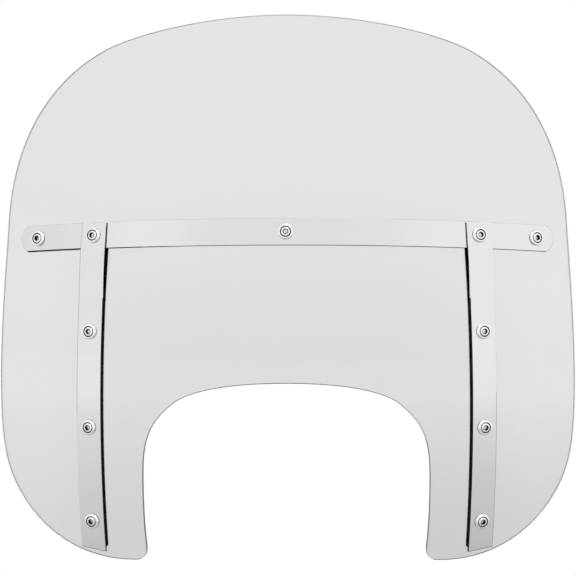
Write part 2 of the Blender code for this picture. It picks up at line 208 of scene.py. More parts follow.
# Surroundings: brightness behind and in front, what is lost straight in front and far to
# the left, and where on a ball of radius one round the object each change starts and ends
BACK_LIGHT = 1.0
FRONT_LIGHT = 0.98
FRONT_TO_BACK = (-0.4, 0.3)
FRONT_DIP = 0.09
FRONT_DIP_EDGE = (-0.96, -0.76)
LEFT_DIP = 0.11
LEFT_DIP_EDGE = (-0.9, -0.58)

# Floor: its grey far off, close by and to the right, each as a share of white, all painted
# shade greying it towards the object. It changes with closeness, which is one over the
# distance in metres, or with a place in metres
FLOOR_DROP = 0.25
FLOOR_REACH = 30.0
FLOOR_FAR_PAINTED_SHADE = 0.88
FAR_CLOSENESS = (0.25, 0.35)
FLOOR_NEAR_PAINTED_SHADE = 0.6
NEAR_CLOSENESS = (0.2, 1.5)
FLOOR_RIGHT_PAINTED_SHADE = 0.92
RIGHT_CLOSENESS = (0.3, 0.6)
RIGHT_PLACES = (-0.1, 0.6)
MATT_TO_WHITE = (0.2, 0.9)  # how far back the matt floor turns into plain white

# Softbox above, in front and to the right, aimed at the object
SOFTBOX_PLACE = Vector((0.6, -1.8, 2.2))
SOFTBOX_SIZE = 1.2
SOFTBOX_POWER = 8.0


# ---- the sheet's surface ----


def rake(height):
    """Backward lean of the sheet at a height."""
    return math.asin(min(height, BEND_TOP) / RAKE_RADIUS)


def setback(height):
    """How far back the sheet has curved at a height."""
    arc_height = min(height, BEND_TOP)
    arc_setback = RAKE_RADIUS - math.sqrt(RAKE_RADIUS**2 - arc_height**2)
    return arc_setback + (height - arc_height) * math.tan(rake(height))


# From heights and depths counted at the widest line to the row frame
TO_ROW = Vector((0, cad_low.y - setback(CUTOUT_TOP), cad_high.z - SHEET_TOP))


def sheet_normal(turn, height):
    """Outward normal of the sheet's front face."""
    lean = rake(height)
    return Vector(
        (math.sin(turn) * math.cos(lean), -math.cos(turn) * math.cos(lean), math.sin(lean))
    )


def sheet_point(turn, height, outward=0.0):
    """Point at an angle around the axis, a height, and a distance out of the front face."""
    radius = WRAP_RADIUS - setback(height)
    face = Vector((radius * math.sin(turn), WRAP_RADIUS - radius * math.cos(turn), height))
    return face + outward * sheet_normal(turn, height) + TO_ROW


def crossbar_height(turn):
    """Height of the crossbar's middle line at an angle around the axis."""
    slope = math.tan(rake(CROSSBAR_CENTRE_HEIGHT))
    radius = WRAP_RADIUS - setback(CROSSBAR_CENTRE_HEIGHT)
    drop = slope * radius * (1 - math.cos(turn)) / (1 + slope**2 * math.cos(turn))
    return CROSSBAR_CENTRE_HEIGHT - drop


def splay(height):
    """How far out an upright strap's middle line has gone from its top screw."""
    return (crossbar_height(STRAP_TURN) - height) * math.tan(STRAP_SPLAY)


def strap_hole_heights():
    """Heights of an upright strap's four screws, from the crossbar down."""
    height = crossbar_height(STRAP_TURN)
    heights = [height]
    for _ in range(3):
        height -= HOLE_PITCH * math.cos(rake(height - HOLE_PITCH / 2))
        heights.append(height)
    return heights


def fastener_places():
    """Name, turn, height and kind of each screw: on a strap, on the bar, or through both."""
    places = []
    for side, label in ((-1, "left"), (1, "right")):
        heights = strap_hole_heights()
        kinds = ("crossing", "strap", "strap", "strap")
        for level, height, kind in zip(("top", "upper", "lower", "bottom"), heights, kinds):
            turn = STRAP_TURN + splay(height) / (WRAP_RADIUS - setback(height))
            places.append((f"{label}_{level}", side * turn, height, kind))
        end_turn = side * CROSSBAR_END_TURN
        places.append((f"{label}_end", end_turn, crossbar_height(end_turn), "bar"))
    places.append(("center", 0.0, CROSSBAR_CENTRE_HEIGHT, "bar"))
    return places


# ---- flat blanks ----

ALONG = (1, 0, 0)
ACROSS = (0, 1, 0)
OUTWARD = (0, 0, 1)


def edge_run(start, end):
    """Points of one curved run of the sheet's edge, without its last point."""
    corners = []
    for (x, height, heading, _, _), reach in ((start, start[4]), (end, -end[3])):
        anchor = Vector((x, height)) * MM
        angle = math.radians(heading)
        handle = anchor + reach * MM * Vector((math.cos(angle), math.sin(angle)))
        corners.append((anchor, handle))
    (first, first_handle), (last, last_handle) = corners
    steps = max(EDGE_STEPS, round((last - first).length / EDGE_CHORD))
    points = []
    for step in range(steps):
        t = step / steps
        s = 1 - t
        point = s**3 * first
        point += 3 * s * s * t * first_handle
        point += 3 * s * t * t * last_handle
        point += t**3 * last
        points.append(point)
    return points


def sheet_outline():
    """The whole edge, unrolled around the axis."""
    right = []
    for start, end in zip(SHEET_EDGE, SHEET_EDGE[1:]):
        right += edge_run(start, end)
    right.append(Vector((0, CUTOUT_TOP)))
    unrolled = []
    for x, height in right:
        turn = math.asin(x / (WRAP_RADIUS - setback(height)))
        unrolled.append((turn * WRAP_RADIUS, height))
    left = [(-across, height) for across, height in reversed(unrolled[1:-1])]
    return unrolled + left


def crossbar_length_at(turn):
    """Distance along the crossbar from its middle."""
    return turn * (WRAP_RADIUS - setback(CROSSBAR_CENTRE_HEIGHT))


def crossbar_outline():
    """A long strip with shallow round ends."""
    half_length = crossbar_length_at(CROSSBAR_END_TURN) + CROSSBAR_END_MARGIN
    sweep = math.asin(STRAP_WIDTH / 2 / CROSSBAR_END_RADIUS)
    steps = 24
    right = []
    for step in range(steps + 1):
        angle = sweep * (1 - 2 * step / steps)
        along = half_length - CROSSBAR_END_RADIUS * (1 - math.cos(angle))
        right.append((along, CROSSBAR_END_RADIUS * math.sin(angle)))
    return right + [(-along, -across) for along, across in right]


def strap_outline():
    """An upright strap, its foot cut to follow the sheet's edge; +Y is away from centre."""
    half = STRAP_WIDTH / 2
    return [
        (STRAP_END_INNER, -half),
        (STRAP_TOP, -half),
        (STRAP_TOP, half),
        (STRAP_END_OUTER, half),
    ]


def backing_outline(width, foot):
    """A strip with rounded corners, behind an upright strap."""
    corners = (
        (foot, -width / 2, 1, 1, 180),
        (BACKING_TOP, -width / 2, -1, 1, 270),
        (BACKING_TOP, width / 2, -1, -1, 0),
        (foot, width / 2, 1, -1, 90),
    )
    steps = 8
    points = []
    for height, across, up, inward, first_angle in corners:
        for step in range(steps + 1):
            angle = math.radians(first_angle + 90 * step / steps)
            x = height + BACKING_CORNER * (up + math.cos(angle))
            y = across + BACKING_CORNER * (inward + math.sin(angle))
            points.append((x, y))
    return points


def face_out(shape):
    """Points every face of a closed shape outwards."""
    bmesh.ops.recalc_face_normals(shape, faces=shape.faces)
    if shape.calc_volume(signed=True) < 0:
        bmesh.ops.reverse_faces(shape, faces=shape.faces)


def rounded_prism(outline, thickness, edge_round):
    """Closed mesh of an outline from level 0 up, its rims rounded."""
    shape = bmesh.new()
    bottom = [shape.verts.new((x, y, 0)) for x, y in outline]
    top = [shape.verts.new((x, y, thickness)) for x, y in outline]
    caps = [shape.faces.new(bottom), shape.faces.new(top)]
    for index in range(len(outline)):
        after = (index + 1) % len(outline)
        shape.faces.new((bottom[index], bottom[after], top[after], top[index]))
    face_out(shape)
    rims = [edge for cap in caps for edge in cap.edges]
    bmesh.ops.bevel(
        shape, geom=rims, offset=edge_round, segments=RIM_STEPS, profile=0.5, affect="EDGES"
    )
    mesh = bpy.data.meshes.new("blank")
    shape.to_mesh(mesh)
    shape.free()
    return mesh


def drills(centres, radius, thickness):
    """Closed mesh of one drill for each bore."""
    shape = bmesh.new()
    for x, y in centres:
        drill = bmesh.ops.create_cone(
            shape,
            cap_ends=True,
            segments=DRILL_SIDES,
            radius1=radius,
            radius2=radius,
            depth=4 * thickness,
        )
        bmesh.ops.translate(shape, verts=drill["verts"], vec=(x, y, thickness / 2))
    mesh = bpy.data.meshes.new("drills")
    shape.to_mesh(mesh)
    shape.free()
    return mesh


def bored(blank, drill_mesh):
    """The blank's mesh with its bores cut."""
    stock = bpy.data.objects.new("stock", blank)
    cutter = bpy.data.objects.new("cutter", drill_mesh)
    for item in (stock, cutter):
        bpy.context.scene.collection.objects.link(item)
    cut = stock.modifiers.new("bores", "BOOLEAN")
    cut.operation = "DIFFERENCE"
    cut.solver = "EXACT"
    cut.object = cutter
    depsgraph = bpy.context.evaluated_depsgraph_get()
    mesh = bpy.data.meshes.new_from_object(stock.evaluated_get(depsgraph))
    for item in (stock, cutter):
        bpy.data.objects.remove(item, do_unlink=True)
    return mesh


def scores(low, high, spacing, direction):
    """Evenly spaced score lines across a blank, strictly between two ends."""
    count = max(1, round((high - low) / spacing))
    along = Vector(direction)
    return [((low + (high - low) * step / count) * along, along) for step in range(1, count)]


def bent(name, mesh, score_lines, form):
    """Scores a flat blank where it bends, moves each point through form, and keeps the
    flat place of each point in the attribute "blank" for its material's grain."""
    shape = bmesh.new()
    shape.from_mesh(mesh)
    for place, normal in score_lines:
        everything = shape.verts[:] + shape.edges[:] + shape.faces[:]
        bmesh.ops.bisect_plane(
            shape, geom=everything, dist=SCORE_TOLERANCE, plane_co=place, plane_no=normal
        )
    flat_place = shape.verts.layers.float_vector.new("blank")
    for vertex in shape.verts:
        vertex[flat_place] = vertex.co
        vertex.co = form(*vertex.co)
    face_out(shape)
    result = bpy.data.meshes.new(name)
    shape.to_mesh(result)
    shape.free()
    result.shade_smooth()
    result.set_sharp_from_angle(angle=SHARP_ANGLE)
    return result


def put(name, mesh, materials, slot, node, place=None):
    """Adds a piece to the scene, riding on the frame in place of its CAD node. A mesh that
    several pieces share has its materials from the first."""
    piece = bpy.data.objects.new(name, mesh)
    bpy.context.scene.collection.objects.link(piece)
    if not mesh.materials:
        for material in materials:
            mesh.materials.append(material)
    if place is not None:
        piece.matrix_world = place
    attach(piece, "root")
    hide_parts(node)
    return piece


def put_bent(name, mesh, materials, slot, node):
    """Adds a bent piece, its shading set by its large faces so that score lines don't show."""
    piece = put(name, mesh, materials, slot, node)
    weigh = piece.modifiers.new("even_normals", "WEIGHTED_NORMAL")
    weigh.keep_sharp = True
    weigh.weight = LARGE_FACE_WEIGHT


# ---- sheet and strap pieces ----


def make_screen(finishes):
    """The clear sheet, bent over the whole surface."""
    outline = sheet_outline()
    holes = [(turn * WRAP_RADIUS, height) for _, turn, height, _ in fastener_places()]
    blank = bored(
        rounded_prism(outline, SHEET_THICKNESS, SHEET_EDGE_ROUND),
        drills(holes, SHEET_BORE, SHEET_THICKNESS),
    )
    reach = max(across for across, _ in outline)
    foot = min(height for _, height in outline)

    def form(across, height, level):
        return sheet_point(across / WRAP_RADIUS, height, level - SHEET_THICKNESS)

    score_lines = scores(-reach, reach, SHEET_FACET, ALONG)
    score_lines += scores(foot, SHEET_TOP, SHEET_FACET, ACROSS)
    mesh = bent("clear_screen", blank, score_lines, form)
    materials = [finishes["clear_sheet"], finishes["cut_edge"]]
    put_bent("clear_screen", mesh, materials, "clear_sheet", "screen")
    finish_sides(mesh, SHEET_THICKNESS, SHEET_RIM_WEAR)


def finish_sides(mesh, thickness, wear, is_painted_shade_rim=None, polished_from=None):
    """Gives the second material to a bent piece's cut sides and bores, below the wear of their
    rims, and to the rest of a rim where the rim test says so of a flat place, as painted
    shade. In a strap's upper part the sides stay polished above the level polished_from."""
    flat_place = mesh.attributes["blank"].data
    for face in mesh.polygons:
        corners = [flat_place[index].vector for index in face.vertices]
        middle = sum(corners, Vector()) / len(corners)
        high = thickness - wear
        if polished_from is not None and middle.x > SIDE_POLISH_FOOT:
            high = polished_from
        is_side = wear < middle.z < high
        if is_side or (is_painted_shade_rim is not None and is_painted_shade_rim(middle.x, middle.y)):
            face.material_index = 1


def make_crossbar(finishes):
    """The strip across the sheet, bent along a level line of it."""
    outline = crossbar_outline()
    turns = (-CROSSBAR_END_TURN, -STRAP_TURN, 0.0, STRAP_TURN, CROSSBAR_END_TURN)
    holes = [(crossbar_length_at(turn), 0.0) for turn in turns]
    blank = bored(
        rounded_prism(outline, STRAP_THICKNESS, STRIP_EDGE_ROUND),
        drills(holes, METAL_BORE, STRAP_THICKNESS),
    )
    lean = rake(CROSSBAR_CENTRE_HEIGHT)
    upward = Vector((0, math.sin(lean), math.cos(lean)))
    small_turn = math.radians(0.01)

    def middle_line(turn):
        return sheet_point(turn, crossbar_height(turn))

    def form(along, across, level):
        turn = along / crossbar_length_at(1.0)
        step = middle_line(turn + small_turn) - middle_line(turn - small_turn)
        outward = step.normalized().cross(upward)
        return middle_line(turn) + across * upward + (CROSSBAR_GAP + level) * outward

    half_length = max(along for along, _ in outline)
    lower_edge = -STRAP_WIDTH / 2
    score_lines = scores(-half_length, half_length, STRIP_FACET, ALONG)
    for rim in CROSSBAR_RIM_SCORES:
        score_lines.append((Vector((0, lower_edge + rim, 0)), Vector(ACROSS)))
    mesh = bent("polished_crossbar", blank, score_lines, form)
    materials = [finishes["polished_steel"], finishes["dark_sides_and_painted_shade"]]
    put_bent("polished_crossbar", mesh, materials, "polished_steel", "crossbar_strap")
    strap_place = crossbar_length_at(STRAP_TURN)
    end_centre = half_length - CROSSBAR_END_RADIUS

    # Painted shade on the crossbar's front: along its lower edge, wider beside the left strap
    # and along the left stub, and round its ends
    def is_painted_shade_rim(along, across):
        shade = max(0.0, 1 - (along + strap_place) / STRAP_SHADE_REACH)
        rim = LEFT_STUB_RIM if along < -strap_place else LOWER_RIM + STRAP_SHADE * shade
        from_end_centre = math.hypot(abs(along) - end_centre, across)
        is_end = abs(along) > end_centre and from_end_centre > CROSSBAR_END_RADIUS - END_RIM
        return is_end or across < lower_edge + rim

    finish_sides(mesh, STRAP_THICKNESS, STRIP_RIM_WEAR, is_painted_shade_rim)


def joggle(height):
    """How far an upright strap stands off the sheet at a height."""
    over_crossbar = CROSSBAR_GAP + STRAP_THICKNESS + GAP
    share = (height - JOGGLE_FOOT) / (JOGGLE_TOP - JOGGLE_FOOT)
    share = min(max(share, 0.0), 1.0)
    ease = share * share * (3 - 2 * share)
    return GAP + (over_crossbar - GAP) * ease


def upright_strip(name, side, outline, thickness, standoff, more_scores=()):
    """Mesh of a strip along an upright section of the sheet; side is -1 for left."""
    turn = side * STRAP_TURN
    holes = [(height, 0.0) for height in strap_hole_heights()]
    blank = bored(
        rounded_prism(outline, thickness, STRIP_EDGE_ROUND),
        drills(holes, METAL_BORE, thickness),
    )
    sideways = side * Vector((math.cos(turn), math.sin(turn), 0))

    def form(height, across, level):
        face = sheet_point(turn, height, standoff(height) + level)
        return face + (across + splay(height)) * sideways

    foot = min(height for height, _ in outline)
    score_lines = scores(foot, STRAP_TOP, STRIP_FACET, ALONG) + list(more_scores)
    return bent(name, blank, score_lines, form)


def make_upright_strap(side, finishes):
    """The polished strap down one leg, over the crossbar at its top; side is -1 for left."""
    label = "left" if side < 0 else "right"
    name = f"{label}_polished_strap"
    foot_middle = Vector(((STRAP_END_INNER + STRAP_END_OUTER) / 2 + FOOT_RIM, 0, 0))
    foot_normal = Vector((STRAP_WIDTH, STRAP_END_INNER - STRAP_END_OUTER, 0)).normalized()
    inner_rim = LEFT_INNER_RIM if side < 0 else RIGHT_INNER_RIM
    inner_line = inner_rim - STRAP_WIDTH / 2
    outer_line = STRAP_WIDTH / 2 - OUTER_RIM
    rim_scores = [
        (foot_middle, foot_normal),
        (Vector((0, inner_line, 0)), Vector(ACROSS)),
        (Vector((0, outer_line, 0)), Vector(ACROSS)),
        (Vector((0, 0, SIDE_POLISH_LEVEL)), Vector(OUTWARD)),
    ]
    mesh = upright_strip(name, side, strap_outline(), STRAP_THICKNESS, joggle, rim_scores)
    materials = [finishes["polished_steel"], finishes["dark_sides_and_painted_shade"]]
    put_bent(name, mesh, materials, "polished_steel", f"{label}_strap")

    # Painted shade on the strap's front: along its foot, its inner edge and part of its outer
    # edge
    def is_painted_shade_rim(height, across):
        is_foot = (Vector((height, across, 0)) - foot_middle).dot(foot_normal) < 0
        is_inner = across < inner_line and height < SIDE_POLISH_FOOT
        is_outer = across > outer_line and side * height < OUTER_RIM_OVERLAP
        return is_foot or is_inner or is_outer

    finish_sides(mesh, STRAP_THICKNESS, STRIP_RIM_WEAR, is_painted_shade_rim, SIDE_POLISH_LEVEL)


def make_backing(side, finishes):
    """The gasket and the plate behind the sheet at one strap; side is -1 for left."""
    label = "left" if side < 0 else "right"
    gasket_back = -SHEET_THICKNESS - GASKET_GAP - GASKET_THICKNESS
    plate_back = gasket_back - GAP - PLATE_THICKNESS
    backing = (
        ("gasket", STRAP_WIDTH, GASKET_END, GASKET_THICKNESS, gasket_back, "gasket_rubber"),
        ("plate", PLATE_WIDTH, PLATE_END, PLATE_THICKNESS, plate_back, "black_steel"),
    )
    for kind, width, foot, thickness, back, slot in backing:
        name = f"{label}_rear_{kind}"
        outline = backing_outline(width, foot)
        mesh = upright_strip(name, side, outline, thickness, lambda height, back=back: back)
        put_bent(name, mesh, [finishes[slot]], slot, f"{label}_backing_{kind}")


# ---- fasteners ----


def hexagon_reach(angle):
    """How far a hexagon with its corner one out reaches at an angle."""
    from_flat = (angle % (math.pi / 3)) - math.pi / 6
    return math.cos(math.pi / 6) / math.cos(from_flat)


def turned(name, rings, is_loop):
    """Turned solid along Z from rings of radius, height, and the corner of a hexagon that
    the ring stays inside, or None."""
    shape = bmesh.new()
    circles = []
    for radius, height, corner in rings:
        circle = []
        for step in range(TURNED_SIDES):
            angle = step * math.tau / TURNED_SIDES
            reach = radius
            if corner is not None:
                reach = min(radius, corner * hexagon_reach(angle))
            place = (reach * math.cos(angle), reach * math.sin(angle), height)
            circle.append(shape.verts.new(place))
        circles.append(circle)
    following = circles[1:]
    if is_loop:
        following = following + circles[:1]
    else:
        shape.faces.new(circles[0])
        shape.faces.new(circles[-1])
    for lower, upper in zip(circles, following):
        for step in range(TURNED_SIDES):
            after = (step + 1) % TURNED_SIDES
            shape.faces.new((lower[step], lower[after], upper[after], upper[step]))
    face_out(shape)
    mesh = bpy.data.meshes.new(name)
    shape.to_mesh(mesh)
    shape.free()
    mesh.shade_smooth()
    mesh.set_sharp_from_angle(angle=SHARP_ANGLE)
    return mesh


def finish_faces(mesh, finish_of):
    """Gives each face the material that finish_of picks from its middle's distance from the
    axis, its height and how steep it is."""
    for face in mesh.polygons:
        middle = face.center
        radius = math.hypot(middle.x, middle.y)
        face.material_index = finish_of(radius, middle.z, abs(face.normal.z) < STEEP)
    return mesh


def arc_rings(centre_radius, centre_height, size, first, last, steps):
    """Rings along an arc of a turned profile; angles in degrees from outwards to up."""
    rings = []
    for step in range(steps + 1):
        angle = math.radians(first + (last - first) * step / steps)
        radius = centre_radius + size * math.cos(angle)
        rings.append((radius, centre_height + size * math.sin(angle), None))
    return rings


def screw_mesh(length):
    """Button-head socket screw, Z = 0 under its head."""
    crown = []
    steps = 8
    rim_height = 0.35 * HEAD_HEIGHT
    flat_radius = 0.6 * HEAD_RADIUS
    for step in range(steps + 1):
        angle = math.pi / 2 * step / steps
        radius = flat_radius + (HEAD_RADIUS - flat_radius) * math.cos(angle)
        height = rim_height + (HEAD_HEIGHT - rim_height) * math.sin(angle)
        crown.append((radius, height, None))
    mouth = 1.25 * SOCKET_CORNER
    lead_in = 0.35 * MM
    drill_point = 0.15 * MM
    socket = [
        (mouth, HEAD_HEIGHT, None),
        (SOCKET_CORNER, HEAD_HEIGHT - lead_in, SOCKET_CORNER),
        (SOCKET_CORNER, HEAD_HEIGHT - SOCKET_DEPTH, SOCKET_CORNER),
        (0.5 * SOCKET_CORNER, HEAD_HEIGHT - SOCKET_DEPTH - drill_point, None),
    ]
    tip = 0.6 * MM
    shank = [
        (0.8 * SCREW_RADIUS, -length, None),
        (SCREW_RADIUS, -length + tip, None),
        (SCREW_RADIUS, 0, None),
    ]
    mesh = turned("screw", shank + [(HEAD_RADIUS, 0, None)] + crown + socket, is_loop=False)
    rim_round = 0.02 * MM

    # The socket's walls, the head's rim and the shank get painted shade
    def finish_of(radius, height, is_steep):
        if height > HEAD_HEIGHT - 1.2 * SOCKET_DEPTH and radius < mouth - rim_round:
            is_floor = height < HEAD_HEIGHT - 0.8 * SOCKET_DEPTH and not is_steep
            return SOCKET_FLOOR if is_floor else PAINTED_SHADE
        if radius > HEAD_RADIUS - 2 * rim_round or height < 0:
            return PAINTED_SHADE
        return BRIGHT

    return finish_faces(mesh, finish_of)


def cup_washer_mesh():
    """Pressed dome washer with a dish for the screw's head, Z = 0 on the strap."""
    wall = 0.55 * MM
    corner = 0.3 * MM
    lip_round = 0.35 * MM
    foot = 0.25 * MM
    skirt = []
    steps = 8
    for step in range(steps + 1):
        angle = math.pi / 2 * step / steps
        radius = CUP_LIP + (CUP_RADIUS - CUP_LIP) * math.cos(angle)
        skirt.append((radius, foot + (CUP_HEIGHT - foot) * math.sin(angle), None))
    lip = arc_rings(CUP_DISH + lip_round, CUP_HEIGHT - lip_round, lip_round, 90, 180, 4)
    dish = [
        (CUP_DISH, CUP_FLOOR + corner, None),
        (CUP_DISH - corner, CUP_FLOOR, None),
        (METAL_BORE, CUP_FLOOR, None),
        (METAL_BORE, 0, None),
        (CUP_DISH, 0, None),
        (CUP_DISH + wall, corner, None),
        (CUP_DISH + wall, CUP_HEIGHT - 2 * wall, None),
        (CUP_RADIUS - 2 * wall, 0.5 * CUP_HEIGHT, None),
        (CUP_RADIUS - wall, 0, None),
    ]
    mesh = turned("cup_washer", [(CUP_RADIUS, 0, None)] + skirt + lip + dish, is_loop=True)

    # The dish and the foot of the skirt get painted shade
    def finish_of(radius, height, is_steep):
        is_in_dish = radius < CUP_DISH + 0.5 * lip_round
        is_foot = height < CUP_RIM and radius > CUP_RADIUS - wall
        return PAINTED_SHADE if is_in_dish or is_foot else BRIGHT

    return finish_faces(mesh, finish_of)


def ring_mesh(name, outer, inner, length):
    """Ring with small chamfers, Z = 0 at one end."""
    chamfer = 0.2 * MM
    rings = [
        (outer - chamfer, 0, None),
        (outer, chamfer, None),
        (outer, length - chamfer, None),
        (outer - chamfer, length, None),
        (inner + chamfer, length, None),
        (inner, length - chamfer, None),
        (inner, chamfer, None),
        (inner + chamfer, 0, None),
    ]
    return turned(name, rings, is_loop=True)


def nut_mesh():
    """Domed cap nut, Z = 0 on the face that it is tightened against."""
    chamfer = 0.6 * MM
    lead_in = 0.4 * MM
    drill_point = 0.8 * MM
    step_up = 0.1 * MM
    flat = NUT_CORNER * math.cos(math.pi / 6)
    dome_radius = 0.82 * NUT_CORNER
    dome_foot = NUT_HEX_HEIGHT + 0.4 * MM
    bore = [
        (0.4 * METAL_BORE, NUT_BORE_DEPTH, None),
        (METAL_BORE, NUT_BORE_DEPTH - drill_point, None),
        (METAL_BORE, lead_in, None),
        (METAL_BORE + lead_in, 0, None),
    ]
    hexagon = [
        (flat, 0, NUT_CORNER),
        (NUT_CORNER, chamfer, NUT_CORNER),
        (NUT_CORNER, NUT_HEX_HEIGHT - chamfer, NUT_CORNER),
        (flat, NUT_HEX_HEIGHT, NUT_CORNER),
        (dome_radius, NUT_HEX_HEIGHT + step_up, None),
    ]
    dome = []
    steps = 10
    for step in range(steps):
        angle = math.pi / 2 * step / steps
        height = dome_foot + (NUT_HEIGHT - dome_foot) * math.sin(angle)
        dome.append((dome_radius * math.cos(angle), height, None))
    return turned("cap_nut", bore + hexagon + dome, is_loop=False)


def on_sheet(turn, height, outward, faces_out):
    """Place of a turned piece on the sheet's normal, its +Z out of the front or the back."""
    normal = sheet_normal(turn, height)
    axis = normal if faces_out else -normal
    turn_to_axis = axis.to_track_quat("Z", "Y").to_matrix().to_4x4()
    return Matrix.Translation(sheet_point(turn, height, outward)) @ turn_to_axis


def make_fasteners(finishes):
    """A screw, cup washer, bush and nut at each place, and a back washer on the crossbar."""
    cup_washer = cup_washer_mesh()
    bush = ring_mesh("bush", BUSH_RADIUS, METAL_BORE, SHEET_THICKNESS - 2 * BUSH_RECESS)
    back_washer = ring_mesh(
        "back_washer", BACK_WASHER_RADIUS, METAL_BORE, BACK_WASHER_THICKNESS
    )
    nut = nut_mesh()
    bar_top = CROSSBAR_GAP + STRAP_THICKNESS
    front = {
        "strap": GAP + STRAP_THICKNESS,
        "crossing": bar_top + GAP + STRAP_THICKNESS,
        "bar": bar_top,
    }
    backing_depth = GASKET_GAP + GASKET_THICKNESS + GAP + PLATE_THICKNESS
    depth = {
        "strap": backing_depth,
        "crossing": backing_depth,
        "bar": GAP + BACK_WASHER_THICKNESS,
    }
    screws = {kind: screw_mesh(length) for kind, length in SCREW_LENGTHS.items()}
    for site, turn, height, kind in fastener_places():
        cup = front[kind] + GAP
        head = cup + CUP_FLOOR + GAP
        back = -SHEET_THICKNESS - depth[kind] - GAP
        kit = [
            ("cup_washer", cup_washer, cup, True, "chrome"),
            ("screw", screws[kind], head, True, "chrome"),
            ("bush", bush, -BUSH_RECESS, False, "nylon"),
            ("nut", nut, back, False, "chrome"),
        ]
        if kind == "bar":
            face = -SHEET_THICKNESS - GAP
            kit.append(("back_washer", back_washer, face, False, "gasket_rubber"))
        for label, mesh, outward, faces_out, slot in kit:
            materials = [finishes[slot], finishes["dark_sides_and_painted_shade"], finishes["socket_steel"]]
            place = on_sheet(turn, height, outward, faces_out)
            put(f"{site}_fine_{label}", mesh, materials, slot, f"{site}_{label}", place)


# ---- materials ----


class Nodes:
    """Short ways to add nodes to a material's or the world's tree."""

    def __init__(self, tree):
        self.tree = tree

    def node(self, kind, inputs=(), **settings):
        """A new node, its inputs linked to outputs or set to values."""
        made = self.tree.nodes.new(kind)
        for key, value in settings.items():
            setattr(made, key, value)
        for socket, value in dict(inputs).items():
            if isinstance(value, bpy.types.NodeSocket):
                self.tree.links.new(value, made.inputs[socket])
            else:
                made.inputs[socket].default_value = value
        return made

    def parts(self, vector):
        """X, Y and Z of a vector."""
        return self.node("ShaderNodeSeparateXYZ", {"Vector": vector}).outputs

    def math(self, operation, first, second):
        return self.node("ShaderNodeMath", {0: first, 1: second}, operation=operation).outputs[0]

    def noise(self, vector, scale, detail=2.0):
        inputs = {"Vector": vector, "Scale": scale, "Detail": detail}
        return self.node("ShaderNodeTexNoise", inputs).outputs["Fac"]

    def spread(self, factor, low, high, from_low=0.3, from_high=0.7, ease="LINEAR"):
        """The factor's range from_low to from_high, by default a noise's, carried over to
        low to high."""
        inputs = {
            "Value": factor,
            "From Min": from_low,
            "From Max": from_high,
            "To Min": low,
            "To Max": high,
        }
        made = self.node("ShaderNodeMapRange", inputs, interpolation_type=ease)
        return made.outputs["Result"]

    def colour(self, red, green, blue):
        inputs = {"Red": red, "Green": green, "Blue": blue}
        return self.node("ShaderNodeCombineColor", inputs).outputs["Color"]

    def blend(self, factor, first, second):
        """Colours blended by a factor. The Mix node's colours are its inputs 6 and 7, and
        its output 2."""
        made = self.tree.nodes.new("ShaderNodeMix")
        made.data_type = "RGBA"
        self.tree.links.new(factor, made.inputs["Factor"])
        made.inputs[6].default_value = (*first, 1.0)
        made.inputs[7].default_value = (*second, 1.0)
        return made.outputs[2]


class Recipe(Nodes):
    """A material under construction, round its Principled shader."""

    def __init__(self, name):
        self.material = bpy.data.materials.new(name)
        self.material.use_nodes = True
        super().__init__(self.material.node_tree)
        self.shader = self.tree.nodes["Principled BSDF"]

    def set(self, **values):
        for key, value in values.items():
            self.shader.inputs[key.replace("_", " ")].default_value = value

    def feed(self, output, socket):
        self.tree.links.new(output, self.shader.inputs[socket])

    def place(self):
        """Place in the piece's own frame."""
        return self.node("ShaderNodeTexCoord").outputs["Object"]

    def flat_place(self):
        """Place on the flat blank: along, across and outward."""
        return self.node("ShaderNodeAttribute", attribute_name="blank").outputs["Vector"]

    def stretched(self, vector, scale):
        made = self.node("ShaderNodeMapping", {"Vector": vector, "Scale": scale})
        return made.outputs["Vector"]

    def bump(self, height, strength, distance):
        inputs = {"Height": height, "Strength": strength, "Distance": distance}
        return self.node("ShaderNodeBump", inputs).outputs["Normal"]


def clear_sheet():
    """Clear polycarbonate: a faint grey that painted shade deepens down the legs, and smears of
    gloss.
    """
    recipe = Recipe("clear_sheet")
    recipe.set(Transmission_Weight=1.0, IOR=1.58, Specular_IOR_Level=0.3)
    place = recipe.place()
    across, _, height = recipe.parts(place)
    # painted light at the top and the outer sides below the bar, painted shade down the legs
    tint = recipe.spread(height, TINT_MIDDLE, TINT_TOP, *MIDDLE_TO_TOP)
    leg = recipe.spread(height, LEG_PAINTED_SHADE, 0.0, *LEG_HEIGHTS)
    off_centre = recipe.math("ABSOLUTE", across, 0.0)
    outer = recipe.spread(off_centre, 0.0, OUTER_PAINTED_LIGHT, *OUTER_SIDES)
    right = recipe.spread(across, 0.0, RIGHT_LEG_SHADE_SHARE, *RIGHT_SIDE)
    both_legs = recipe.math("ADD", leg, recipe.math("MULTIPLY", leg, right))
    tint = recipe.math("SUBTRACT", tint, both_legs)
    below_bar = recipe.spread(height, 1.0, 0.0, *BELOW_BAR)
    tint = recipe.math("ADD", tint, recipe.math("MULTIPLY", outer, below_bar))
    cool = recipe.spread(height, TINT_COOL, 0.0, *BELOW_BAR)
    above_leg = recipe.spread(height, 0.0, 1.0, *COOL_HEIGHTS)
    between = recipe.spread(off_centre, 1.0, 0.2, *COOL_SIDES)
    cool = recipe.math("MULTIPLY", cool, recipe.math("MULTIPLY", above_leg, between))
    warm = recipe.spread(height, TINT_LOW_WARM, TINT_WARM, *BELOW_BAR)
    red = recipe.math("SUBTRACT", tint, cool)
    blue = recipe.math("SUBTRACT", tint, warm)
    recipe.feed(recipe.colour(red, tint, blue), "Base Color")
    smear = recipe.noise(place, 9.0, detail=4.0)
    recipe.feed(recipe.spread(smear, 0.0, 0.03), "Roughness")
    return recipe.material


